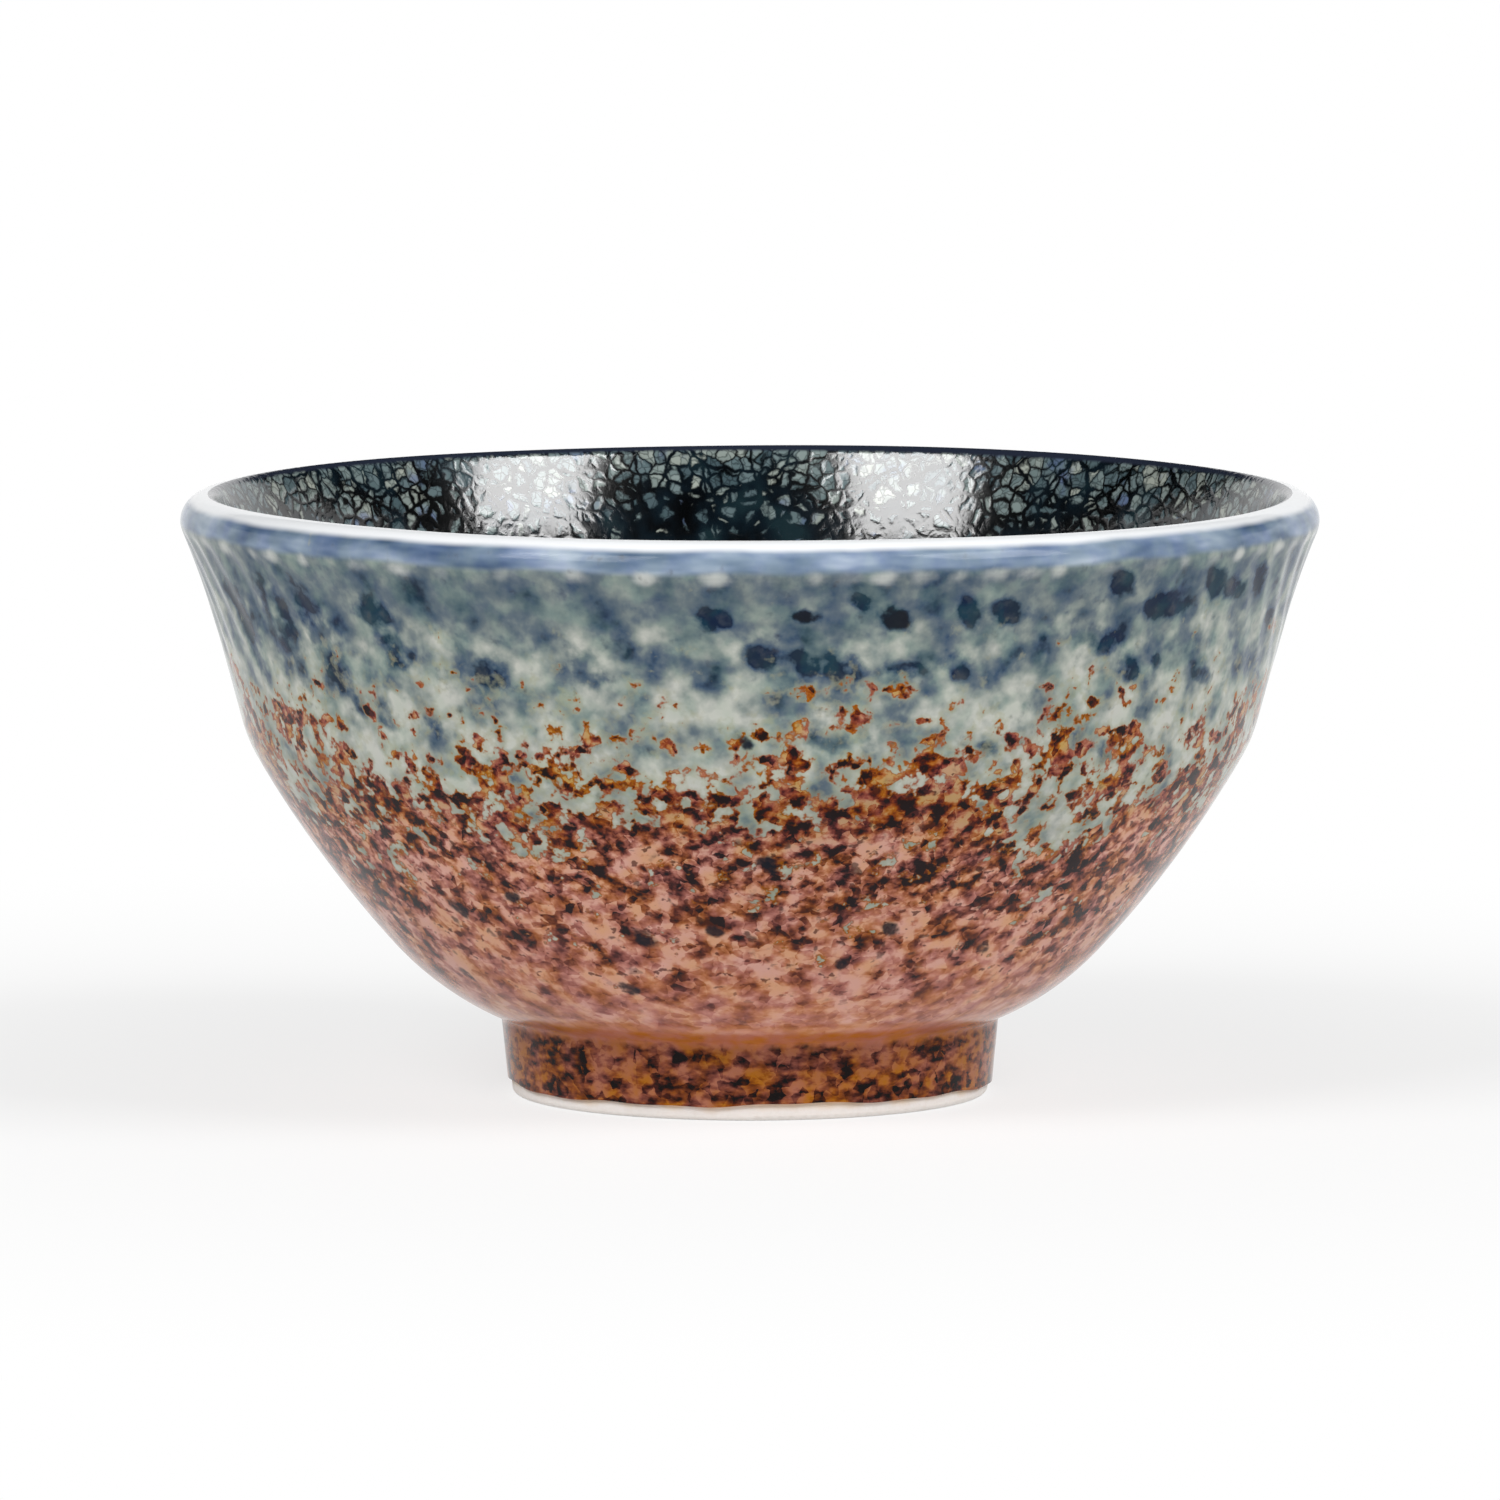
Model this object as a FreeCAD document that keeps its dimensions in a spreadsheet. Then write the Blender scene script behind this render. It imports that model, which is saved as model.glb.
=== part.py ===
"""Footed tea bowl of white stoneware, glazed inside and out.

Millimetres, +Z up. The origin is the centre of the foot's contact ring, on the surface that the
bowl stands on. Nothing moves: the bowl is a clay wall on a clay foot, with six coats of glaze that
lie on the clay face to face.

The outside is one outline of tangent arcs. Going up, it is the foot's wall, the cove, the low
belly, the high belly, the shoulder, the straight wall, the flare and the lip. Every layer is that
outline at a depth below the outer glaze: the arcs keep their centres and change their radii. Forms
are turned from it, and the layers are what lies between one form and the next.
"""
import FreeCAD
import Part
import math
import os
import re
import Sketcher

# the driving sizes; angles are in degrees
SIZES = {
    # overall
    "rim_diameter": 120.0,
    "bowl_height": 63.8,
    "foot_diameter": 52.6,
    "foot_height": 8.2,
    # outside, from the lip down: the wall's lean is from upright, the shoulder's height from the table
    "flare_depth": 12.1,
    "flare_radius": 60.0,
    "wall_lean": 15.5,
    "shoulder_height": 39.9,
    "shoulder_radius": 17.2,
    # how far the belly's slope swings from the straight way between the foot and the wall
    "belly_top_swing": 11.0,
    "belly_middle_swing": 1.3,
    "belly_foot_swing": 26.7,
    "cove_radius": 0.8,
    "foot_taper": 5.5,
    # clay and glaze
    "clay_wall": 3.8,
    "clay_floor": 4.2,
    "floor_flat": 24.0,
    "lip_inner_round": 0.9,
    "glaze_coat": 0.4,
    # foot
    "foot_wall": 4.0,
    "foot_round": 0.6,
    "well_draft": 6.0,
    "well_corner": 2.0,
    # where each outer glaze gives way to the next
    "lip_band": 3.6,
    "glaze_break_height": 38.0,
    "bare_foot_height": 1.6,
}

# what follows from them: x is a distance from the bowl's axis, z a height above the table
SHAPE = {
    "wall": "clay_wall + 2 * glaze_coat",
    "flare_drop": "flare_depth + flare_radius * sin(wall_lean)",
    # the lip's outer round touches the flare, and leaves room for the wall and the inner round
    "lip_radius": "(wall * (wall + 2 * flare_radius - 2 * lip_inner_round)"
    " - 2 * lip_inner_round * (flare_radius - flare_drop)) / (2 * (flare_radius + flare_drop))",
    "lip_x": "rim_diameter / 2 - lip_radius",
    "lip_z": "bowl_height - lip_radius",
    "flare_x": "lip_x + sqrt((flare_radius + lip_radius)^2 - (flare_drop - lip_radius)^2)",
    "flare_z": "bowl_height - flare_drop",
    "wall_top_z": "bowl_height - flare_depth",
    "wall_foot_x": "flare_x - flare_radius * cos(wall_lean)"
    " - (wall_top_z - shoulder_height) * tan(wall_lean)",
    "shoulder_x": "wall_foot_x - shoulder_radius * cos(wall_lean)",
    "shoulder_z": "shoulder_height + shoulder_radius * sin(wall_lean)",
    # the belly is two arcs: its slopes at the top, the middle and the foot fix their radii
    "belly_way": "atan((wall_foot_x - foot_diameter / 2) / (shoulder_height - foot_height)) / 1 deg",
    "top_slope": "belly_way - belly_top_swing",
    "middle_slope": "belly_way + belly_middle_swing",
    "foot_slope": "belly_way + belly_foot_swing",
    "belly_run": "shoulder_x + shoulder_radius * cos(top_slope) - foot_diameter / 2",
    "belly_rise": "shoulder_z - shoulder_radius * sin(top_slope) - foot_height",
    "low_run": "cos(middle_slope) - cos(foot_slope)",
    "low_rise": "sin(foot_slope) - sin(middle_slope)",
    "high_run": "cos(top_slope) - cos(middle_slope)",
    "high_rise": "sin(middle_slope) - sin(top_slope)",
    "spread": "low_run * high_rise - low_rise * high_run",
    "low_radius": "(belly_run * high_rise - belly_rise * high_run) / spread",
    "high_radius": "(belly_rise * low_run - belly_run * low_rise) / spread",
    "low_x": "foot_diameter / 2 - low_radius * cos(foot_slope)",
    "low_z": "foot_height + low_radius * sin(foot_slope)",
    "high_x": "shoulder_x - (high_radius - shoulder_radius) * cos(top_slope)",
    "high_z": "shoulder_z + (high_radius - shoulder_radius) * sin(top_slope)",
    # the cove touches the low belly and the foot's wall from outside
    "cove_out": "(foot_diameter / 2 - low_x) * cos(foot_taper) + (low_z - foot_height) * sin(foot_taper)"
    " + cove_radius",
    "cove_down": "sqrt((low_radius + cove_radius)^2 - cove_out^2)",
    "cove_x": "low_x + cove_out * cos(foot_taper) - cove_down * sin(foot_taper)",
    "cove_z": "low_z - cove_out * sin(foot_taper) - cove_down * cos(foot_taper)",
    # the foot's clay at the table, outside and inside, as if it had no rounds
    "foot_out_x": "foot_diameter / 2 - foot_height * tan(foot_taper) - glaze_coat / cos(foot_taper)",
    "foot_in_x": "foot_out_x - foot_wall",
    "foot_round_x": "foot_out_x + foot_round * (tan(foot_taper) - 1 / cos(foot_taper))",
    "mouth_round_x": "foot_in_x + foot_round * (1 / cos(well_draft) - tan(well_draft))",
    "corner_z": "foot_height - well_corner",
    "corner_x": "foot_in_x - corner_z * tan(well_draft) - well_corner / cos(well_draft)",
    # the floor's curve touches the flat of the floor and the wall inside the high belly
    "floor_z": "foot_height + clay_floor + glaze_coat",
    "liner_belly": "high_radius - wall",
    "floor_curve": "(liner_belly^2 - (floor_flat / 2 - high_x)^2 - (high_z - floor_z)^2)"
    " / (2 * (liner_belly - high_z + floor_z))",
}

# how far a cutting form reaches past the bowl
CLEAR = 10.0

doc = FreeCAD.newDocument("tea_bowl")


def on_sheet(formula):
    """A formula with each size in it written as the cell that holds it."""
    def cell(word):
        if word[0] in SIZES:
            return "Sizes." + word[0]
        return "Shape." + word[0] if word[0] in SHAPE else word[0]
    return re.sub("[a-z_]+", cell, formula)


def fill_sheet(name, cells):
    """A spreadsheet with each cell's alias beside it."""
    sheet = doc.addObject("Spreadsheet::Sheet", name)
    for row, (alias, content) in enumerate(cells.items(), start=1):
        sheet.set(f"A{row}", alias)
        sheet.set(f"B{row}", content)
        sheet.setAlias(f"B{row}", alias)
    doc.recompute()
    return sheet


fill_sheet("Sizes", {alias: str(number) for alias, number in SIZES.items()})
shape = fill_sheet("Shape", {
    alias: "=" + on_sheet(formula).replace("Shape.", "") for alias, formula in SHAPE.items()
})


def value(formula):
    """What a formula comes to with the sheets as they stand."""
    return float(shape.evalExpression(on_sheet(formula)))


def point(x, z):
    """A place in a section, from its distance from the axis and its height, or their formulas."""
    return FreeCAD.Vector(*(value(item) if isinstance(item, str) else item for item in (x, z)), 0)


def square_to(lean):
    """The outward direction that is square to a wall leaning out by this many degrees."""
    turn = math.radians(value(lean))
    return point(math.cos(turn), -math.sin(turn))


def beyond(centre, other, radius):
    """The point at radius from centre, on the far side of it from other."""
    way = centre - other
    return centre + way * (radius / way.Length)


def toward(centre, other, radius):
    """The point at radius from centre, on the way to other."""
    return beyond(centre, other, -radius)


class Section:
    """A closed sketch on a body's XZ plane, drawn corner by corner, anticlockwise."""

    START, END, CENTRE = 1, 2, 3
    AXIS = -2

    def __init__(self, name, first):
        self.body = doc.addObject("PartDesign::Body", name)
        self.sketch = self.body.newObject("Sketcher::SketchObject", name + "_section")
        plane = [feature for feature in self.body.Origin.OriginFeatures if feature.Role == "XZ_Plane"][0]
        self.sketch.AttachmentSupport = [(plane, "")]
        self.sketch.MapMode = "FlatFace"
        self.first = first
        self.here = first
        self.pieces = []

    def line(self, end):
        """A straight piece from the last corner to end."""
        index = self.sketch.addGeometry(Part.LineSegment(self.here, end), False)
        way = (end - self.here).normalize()
        self.pieces.append((index, self.START, self.END, way, way))
        self.here = end
        return index

    def arc(self, centre, end, hollow=False):
        """A round piece from the last corner to end. It is hollow where its centre is outside."""
        corners = (end, self.here) if hollow else (self.here, end)
        angles = [math.atan2(corner.y - centre.y, corner.x - centre.x) for corner in corners]
        circle = Part.Circle(centre, FreeCAD.Vector(0, 0, 1), (end - centre).Length)
        index = self.sketch.addGeometry(Part.ArcOfCircle(circle, *angles), False)
        turn = -1 if hollow else 1
        ways = [
            point(centre.y - corner.y, corner.x - centre.x).normalize() * turn for corner in (self.here, end)
        ]
        ends = (self.END, self.START) if hollow else (self.START, self.END)
        self.pieces.append((index, *ends, *ways))
        self.here = end
        return index

    def close(self):
        """The last side, down the axis. Pieces that run on in one direction are joined smoothly."""
        side = self.line(self.first)
        for this, following in zip(self.pieces, self.pieces[1:] + self.pieces[:1]):
            bend = this[4].cross(following[3]).Length
            kind = "Coincident" if bend > 1e-6 else "Tangent"
            self.hold(kind, this[0], this[2], following[0], following[1])
        self.hold("PointOnObject", side, self.START, self.AXIS)
        self.hold("PointOnObject", side, self.END, self.AXIS)

    def hold(self, *what):
        return self.sketch.addConstraint(Sketcher.Constraint(*what))

    def tie(self, name, formula, kind, *where):
        """A length whose value is a formula of the sheets' sizes."""
        place = self.hold(kind, *where, value(formula))
        self.sketch.renameConstraint(place, name)
        self.sketch.setExpression(f"Constraints.{name}", on_sheet(formula))

    def tie_slope(self, name, formula, piece):
        """A line's direction, in degrees above level."""
        place = self.hold("Angle", piece, math.radians(value(formula)))
        self.sketch.renameConstraint(place, name)
        self.sketch.setExpression(f"Constraints.{name}", f"({on_sheet(formula)}) * 1 deg")

    def turn(self):
        """Turns the closed section all the way round the bowl's axis."""
        turned = self.body.newObject("PartDesign::Revolution", self.body.Name + "_turned")
        turned.Profile = (self.sketch, [""])
        turned.ReferenceAxis = (self.sketch, ["V_Axis"])
        turned.Angle = 360
        doc.recompute()
        if not self.sketch.FullyConstrained:
            raise RuntimeError(f"{self.sketch.Name} is not fully constrained")
        return self.body


CENTRES = {
    name: point(name + "_x", name + "_z")
    for name in ("cove", "low", "high", "shoulder", "flare", "lip")
}
WALL_OUT = square_to("wall_lean")
FOOT_OUT = square_to("foot_taper")


def outer_form(name, depth):
    """The filled outside of the bowl and its foot, at a depth below the surface of the glaze."""
    low = value(f"low_radius - {depth}")
    shoulder = value(f"shoulder_radius - {depth}")
    foot_round = point("foot_round_x", "foot_round")
    round_radius = value(f"foot_round + glaze_coat - {depth}")
    bottom_z = foot_round.y - round_radius
    crest_z = value(f"bowl_height - {depth}")

    section = Section(name, point(0, bottom_z))
    bottom = section.line(point(foot_round.x, bottom_z))
    rounding = section.arc(foot_round, foot_round + FOOT_OUT * round_radius)
    foot = section.line(CENTRES["cove"] - FOOT_OUT * value(f"cove_radius + {depth}"))
    cove = section.arc(CENTRES["cove"], toward(CENTRES["low"], CENTRES["cove"], low), hollow=True)
    low_belly = section.arc(CENTRES["low"], beyond(CENTRES["low"], CENTRES["high"], low))
    high_belly = section.arc(CENTRES["high"], beyond(CENTRES["shoulder"], CENTRES["high"], shoulder))
    turn_up = section.arc(CENTRES["shoulder"], CENTRES["shoulder"] + WALL_OUT * shoulder)
    wall = section.line(CENTRES["flare"] - WALL_OUT * value(f"flare_radius + {depth}"))
    flare_end = toward(CENTRES["lip"], CENTRES["flare"], value(f"lip_radius - {depth}"))
    flare = section.arc(CENTRES["flare"], flare_end, hollow=True)
    lip = section.arc(CENTRES["lip"], point("lip_x", crest_z))
    top = section.line(point(0, crest_z))
    section.close()

    section.hold("Horizontal", bottom)
    section.hold("Horizontal", top)
    section.tie("foot_round", f"foot_round + glaze_coat - {depth}", "Radius", rounding)
    section.tie("foot_round_x", "foot_round_x", "DistanceX", rounding, Section.CENTRE)
    section.tie("foot_round_z", "foot_round", "DistanceY", rounding, Section.CENTRE)
    section.tie_slope("foot_slope", "90 - foot_taper", foot)
    section.tie("cove", f"cove_radius + {depth}", "Radius", cove)
    section.tie("low_belly", f"low_radius - {depth}", "Radius", low_belly)
    section.tie("low_belly_x", "low_x", "DistanceX", low_belly, Section.CENTRE)
    section.tie("low_belly_z", "low_z", "DistanceY", low_belly, Section.CENTRE)
    section.tie("high_belly", f"high_radius - {depth}", "Radius", high_belly)
    section.tie("shoulder", f"shoulder_radius - {depth}", "Radius", turn_up)
    section.tie("shoulder_z", "shoulder_z", "DistanceY", turn_up, Section.CENTRE)
    section.tie_slope("wall_slope", "90 - wall_lean", wall)
    section.tie("flare", f"flare_radius + {depth}", "Radius", flare)
    section.tie("flare_z", "flare_z", "DistanceY", flare, Section.CENTRE)
    section.tie("lip", f"lip_radius - {depth}", "Radius", lip)
    section.tie("lip_x", "lip_x", "DistanceX", lip, Section.CENTRE)
    section.tie("crest_z", f"bowl_height - {depth}", "DistanceY", top, Section.START)
    return section.turn()


def hollow_form(name, cover):
    """The air in the bowl, up past the rim. cover is how thick the glaze on its clay is."""
    gap = f"(glaze_coat - {cover})"
    depth = f"(wall - {gap})"
    shoulder = value(f"shoulder_radius - {depth}")
    floor_z = value(f"floor_z - {gap}")
    crest_z = value(f"bowl_height - {gap}")
    top_z = value("bowl_height") + CLEAR
    curve_centre = point("floor_flat / 2", "floor_z + floor_curve")
    lip_round = value(f"lip_inner_round - {gap}")
    round_centre = point("lip_x", crest_z - lip_round)

    section = Section(name, point(0, floor_z))
    bottom = section.line(point(curve_centre.x, floor_z))
    floor_end = beyond(curve_centre, CENTRES["high"], value(f"floor_curve + {gap}"))
    floor_curve = section.arc(curve_centre, floor_end)
    high_belly = section.arc(CENTRES["high"], beyond(CENTRES["shoulder"], CENTRES["high"], shoulder))
    turn_up = section.arc(CENTRES["shoulder"], CENTRES["shoulder"] + WALL_OUT * shoulder)
    wall = section.line(CENTRES["flare"] - WALL_OUT * value(f"flare_radius + {depth}"))
    flare = section.arc(CENTRES["flare"], beyond(round_centre, CENTRES["flare"], lip_round), hollow=True)
    lip = section.arc(round_centre, point("lip_x", crest_z), hollow=True)
    side = section.line(point("lip_x", top_z))
    lid = section.line(point(0, top_z))
    section.close()

    section.hold("Horizontal", bottom)
    section.hold("Vertical", side)
    section.hold("Horizontal", lid)
    section.tie("floor_z", f"floor_z - {gap}", "DistanceY", bottom, Section.END)
    section.tie("floor_flat", "floor_flat / 2", "DistanceX", bottom, Section.END)
    section.tie("high_belly", f"high_radius - {depth}", "Radius", high_belly)
    section.tie("high_belly_z", "high_z", "DistanceY", high_belly, Section.CENTRE)
    section.tie("shoulder", f"shoulder_radius - {depth}", "Radius", turn_up)
    section.tie("shoulder_z", "shoulder_z", "DistanceY", turn_up, Section.CENTRE)
    section.tie_slope("wall_slope", "90 - wall_lean", wall)
    section.tie("flare", f"flare_radius + {depth}", "Radius", flare)
    section.tie("flare_z", "flare_z", "DistanceY", flare, Section.CENTRE)
    section.tie("lip_round", f"lip_inner_round - {gap}", "Radius", lip)
    section.tie("lip_x", "lip_x", "DistanceX", lip, Section.CENTRE)
    section.tie("crest_x", "lip_x", "DistanceX", side, Section.START)
    section.tie("crest_z", f"bowl_height - {gap}", "DistanceY", side, Section.START)
    section.tie("top_z", f"bowl_height + {CLEAR}", "DistanceY", side, Section.END)
    return section.turn()


def well_form(name, cover):
    """The air under the bowl, inside the foot. cover is how thick the glaze on its clay is."""
    mouth = point("mouth_round_x", "foot_round")
    mouth_round = value(f"foot_round + {cover}")
    corner = point("corner_x", "corner_z")
    corner_round = value(f"well_corner - {cover}")
    to_clay = square_to("-well_draft")

    section = Section(name, point(0, mouth.y - mouth_round))
    bottom = section.line(point(mouth.x, mouth.y - mouth_round))
    rounding = section.arc(mouth, mouth - to_clay * mouth_round, hollow=True)
    wall = section.line(corner + to_clay * corner_round)
    turn_in = section.arc(corner, point(corner.x, corner.y + corner_round))
    ceiling = section.line(point(0, corner.y + corner_round))
    section.close()

    section.hold("Horizontal", bottom)
    section.hold("Horizontal", ceiling)
    section.tie("mouth_round", f"foot_round + {cover}", "Radius", rounding)
    section.tie("mouth_x", "mouth_round_x", "DistanceX", rounding, Section.CENTRE)
    section.tie("mouth_z", "foot_round", "DistanceY", rounding, Section.CENTRE)
    section.tie_slope("wall_slope", "90 + well_draft", wall)
    section.tie("corner_round", f"well_corner - {cover}", "Radius", turn_in)
    section.tie("corner_z", "corner_z", "DistanceY", turn_in, Section.CENTRE)
    return section.turn()


def slab(name, bottom, top):
    """A wide disc that keeps what lies between two heights."""
    disc = doc.addObject("Part::Cylinder", name)
    disc.setExpression("Radius", on_sheet(f"rim_diameter / 2 + {CLEAR}"))
    disc.setExpression("Height", on_sheet(f"({top}) - ({bottom})"))
    disc.setExpression("Placement.Base.z", on_sheet(bottom))
    return disc


def combine(kind, name, base, tool):
    """Two forms in one: Cut takes the tool away from the base, Common keeps what both fill."""
    result = doc.addObject("Part::" + kind, name)
    result.Base = base
    result.Tool = tool
    return result


# ---------------------------------------------------------------- forms
glazed_outside = outer_form("glazed_outside", "0")
clay_outside = outer_form("clay_outside", "glaze_coat")
clay_hollow = hollow_form("clay_hollow", "0")
liner_hollow = hollow_form("liner_hollow", "glaze_coat")
clay_well = well_form("clay_well", "0")
glazed_well = well_form("glazed_well", "glaze_coat")

bowl_slab = slab("bowl_slab", "foot_height", f"bowl_height + {CLEAR}")
foot_slab = slab("foot_slab", f"0 - {CLEAR}", "foot_height")
lip_slab = slab("lip_slab", "bowl_height - lip_band", f"bowl_height + {CLEAR}")
upper_slab = slab("upper_slab", "glaze_break_height", "bowl_height - lip_band")
lower_slab = slab("lower_slab", "foot_height", "glaze_break_height")
foot_coat_slab = slab("foot_coat_slab", "bare_foot_height", "foot_height")

clay_shell = combine("Cut", "clay_shell", clay_outside, clay_hollow)
clay_foot = combine("Common", "clay_foot", clay_outside, foot_slab)
outer_skin = combine("Cut", "outer_skin", glazed_outside, clay_outside)
outer_coat = combine("Cut", "outer_coat", outer_skin, clay_hollow)
well_coat = combine("Cut", "well_coat", clay_well, glazed_well)

# ---------------------------------------------------------------- the pieces
PIECES = [
    # the jiggered clay wall and floor, and the clay foot stuck under it
    combine("Common", "clay_bowl", clay_shell, bowl_slab),
    combine("Cut", "foot_ring", clay_foot, clay_well),
    # the coats of glaze, each poured, dipped or brushed in its own turn
    combine("Cut", "liner_glaze", clay_hollow, liner_hollow),
    combine("Common", "lip_glaze", outer_coat, lip_slab),
    combine("Common", "upper_glaze", outer_coat, upper_slab),
    combine("Common", "lower_glaze", outer_coat, lower_slab),
    combine("Common", "foot_glaze", outer_coat, foot_coat_slab),
    combine("Common", "well_glaze", well_coat, foot_coat_slab),
]
doc.recompute()

for thing in doc.Objects:
    if "Invalid" in thing.State or "Error" in thing.State:
        raise RuntimeError(f"{thing.Name} failed: {thing.getStatusString()}")
for piece in PIECES:
    if piece.Shape.isNull() or not piece.Shape.isValid() or len(piece.Shape.Solids) != 1:
        raise RuntimeError(f"{piece.Label} is not one sound solid")

os.makedirs("parts", exist_ok=True)
for piece in PIECES:
    piece.Shape.exportStep(f"parts/{piece.Label}.step")
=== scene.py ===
import math

import bpy
import numpy as np
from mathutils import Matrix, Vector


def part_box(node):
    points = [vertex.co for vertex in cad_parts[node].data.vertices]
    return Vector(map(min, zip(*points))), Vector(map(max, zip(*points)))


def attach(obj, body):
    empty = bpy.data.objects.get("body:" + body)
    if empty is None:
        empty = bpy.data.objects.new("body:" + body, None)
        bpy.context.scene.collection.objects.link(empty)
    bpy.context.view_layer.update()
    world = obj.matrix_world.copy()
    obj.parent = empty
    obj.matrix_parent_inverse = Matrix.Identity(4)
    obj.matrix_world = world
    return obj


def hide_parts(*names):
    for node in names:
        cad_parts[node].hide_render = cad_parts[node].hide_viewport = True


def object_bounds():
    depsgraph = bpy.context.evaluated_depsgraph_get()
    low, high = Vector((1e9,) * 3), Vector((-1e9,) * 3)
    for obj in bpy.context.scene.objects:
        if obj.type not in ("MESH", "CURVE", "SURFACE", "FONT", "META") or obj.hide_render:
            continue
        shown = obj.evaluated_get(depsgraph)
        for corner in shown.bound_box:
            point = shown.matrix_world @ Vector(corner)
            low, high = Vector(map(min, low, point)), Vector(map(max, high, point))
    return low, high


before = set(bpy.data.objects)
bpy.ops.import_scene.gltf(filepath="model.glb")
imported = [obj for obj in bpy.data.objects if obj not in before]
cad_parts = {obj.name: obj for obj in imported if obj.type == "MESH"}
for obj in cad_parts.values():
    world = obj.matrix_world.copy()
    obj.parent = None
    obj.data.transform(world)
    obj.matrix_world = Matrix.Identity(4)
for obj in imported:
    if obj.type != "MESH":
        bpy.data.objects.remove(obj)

cad_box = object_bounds()


# ---------------------------------------------------------------------------------------------
# Clay bowl: white stoneware, jiggered over a plaster mould and fired. Glaze hides all of it, so
# the CAD solid stays and takes the fired clay: chalky off-white, matt, with a fine grog grain.
# ---------------------------------------------------------------------------------------------
MM = 0.001
CLAY_WHITE = "fdfbf8"
CLAY_GREY = "f3eee8"
FLASHING = "ecd5b8"  # where iron from the glaze tinted the clay beside it
GROG = 0.5  # mm across


def linear(code):
    """An sRGB hex colour as linear red, green, blue and alpha."""
    parts = [int(code[i:i + 2], 16) / 255 for i in (0, 2, 4)]
    return [p / 12.92 if p <= 0.04045 else ((p + 0.055) / 1.055) ** 2.4 for p in parts] + [1.0]


def add(tree, kind, inputs=None, colours=(), **settings):
    """A node with its settings, and a value or another node's output on each of its inputs.

    A ramp's colours are spaced evenly from 0 to 1."""
    made = tree.nodes.new("ShaderNode" + kind)
    if colours:
        stops = made.color_ramp.elements
        for spot in range(1, len(colours) - 1):
            stops.new(spot / (len(colours) - 1))
        for stop, code in zip(stops, colours):
            stop.color = linear(code)
    for name, choice in settings.items():
        setattr(made, name, choice)
    for name, source in (inputs or {}).items():
        if isinstance(source, bpy.types.Node):
            source = source.outputs[0]
        if isinstance(source, bpy.types.NodeSocket):
            tree.links.new(source, made.inputs[name])
        else:
            made.inputs[name].default_value = source
    return made


SOFT = {"interpolation_type": "SMOOTHSTEP"}  # for a step with eased ends


def finish_of(name):
    """A new material: its node tree, its surface shader, and places on the bowl in millimetres."""
    material = bpy.data.materials.new(name)
    material.use_nodes = True
    tree = material.node_tree
    tree.nodes.clear()
    surface = add(tree, "BsdfPrincipled")
    add(tree, "OutputMaterial", {"Surface": surface})
    place = add(tree, "TexCoord").outputs["Object"]
    place = add(tree, "VectorMath", {0: place, "Scale": 1 / MM}, operation="SCALE")
    return material, tree, surface, place


def mottling(tree, place, grain, detail=2.0, seed=0.0, squash=1.0, rough=0.5):
    """Soft random patches around 0.5. grain is their spacing in millimetres, and squash how much
    shorter they are up and down."""
    moved = add(tree, "Mapping", {"Vector": place, "Location": (seed, seed * 0.7, -seed),
                                  "Scale": (1 / grain, 1 / grain, squash / grain)})
    return add(tree, "TexNoise", {"Vector": moved, "Scale": 1.0, "Detail": detail, "Roughness": rough})


clay, tree, surface, place = finish_of("fired_white_stoneware")
grog = mottling(tree, place, GROG, 3)
height = add(tree, "SeparateXYZ", {0: place}).outputs["Z"]
uneven = mottling(tree, place, 3, 2, 2)
uneven = add(tree, "Math", {0: uneven, 1: 1.4}, operation="MULTIPLY")
flashed = add(tree, "Math", {0: height, 1: uneven}, operation="ADD")
flashed = add(tree, "MapRange", {0: flashed, 1: 1.5, 2: 2.6}, **SOFT)
bare = add(tree, "Mix", {0: grog, 6: linear(CLAY_GREY), 7: linear(CLAY_WHITE)},
           data_type="RGBA").outputs[2]
bare = add(tree, "Mix", {0: flashed, 6: bare, 7: linear(FLASHING)}, data_type="RGBA").outputs[2]
tree.links.new(bare, surface.inputs["Base Color"])
surface.inputs["Roughness"].default_value = 0.75
pits = add(tree, "Bump", {"Height": grog, "Distance": 0.06 * MM, "Strength": 0.6})
tree.links.new(pits.outputs[0], surface.inputs["Normal"])


def dress_node(name, material):
    """A CAD node keeps its shape and takes a finish."""
    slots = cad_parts[name].material_slots
    for slot in slots:
        slot.material = material
    if not slots:
        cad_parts[name].data.materials.append(material)


dress_node("clay_bowl", clay)


# ---------------------------------------------------------------------------------------------
# Glaze over the lip: it drains off the sharp round as it melts, so the clay shows through white
# on the crest, and it gathers blue just under it. The crest's white also holds a painted highlight.
# Its outside is the first stretch of one outline, which every outer coat follows down to the foot.
# ---------------------------------------------------------------------------------------------
RIM_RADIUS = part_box("lip_glaze")[1].x / MM
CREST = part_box("lip_glaze")[1].z / MM
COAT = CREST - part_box("clay_bowl")[1].z / MM
CLAY_WALL = 3.8
WALL = CLAY_WALL + 2 * COAT  # the clay and both its coats

# The outline's driving sizes. Angles are in degrees, and heights are above the table.
FLARE_DEPTH = 12.1  # below the crest
FLARE_RADIUS = 60.0
WALL_LEAN = 15.5
SHOULDER_HEIGHT = 39.9
SHOULDER_RADIUS = 17.2
BELLY_SWINGS = (-11.0, 1.3, 26.7)  # its slopes, against the straight way from foot to shoulder
COVE_RADIUS = 0.8
FOOT_RADIUS = 26.3
FOOT_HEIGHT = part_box("foot_glaze")[1].z / MM
FOOT_TAPER = 5.5
INNER_ROUND = 0.9  # inside the lip


def cosine(angle):
    return math.cos(math.radians(angle))


def sine(angle):
    return math.sin(math.radians(angle))


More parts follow.
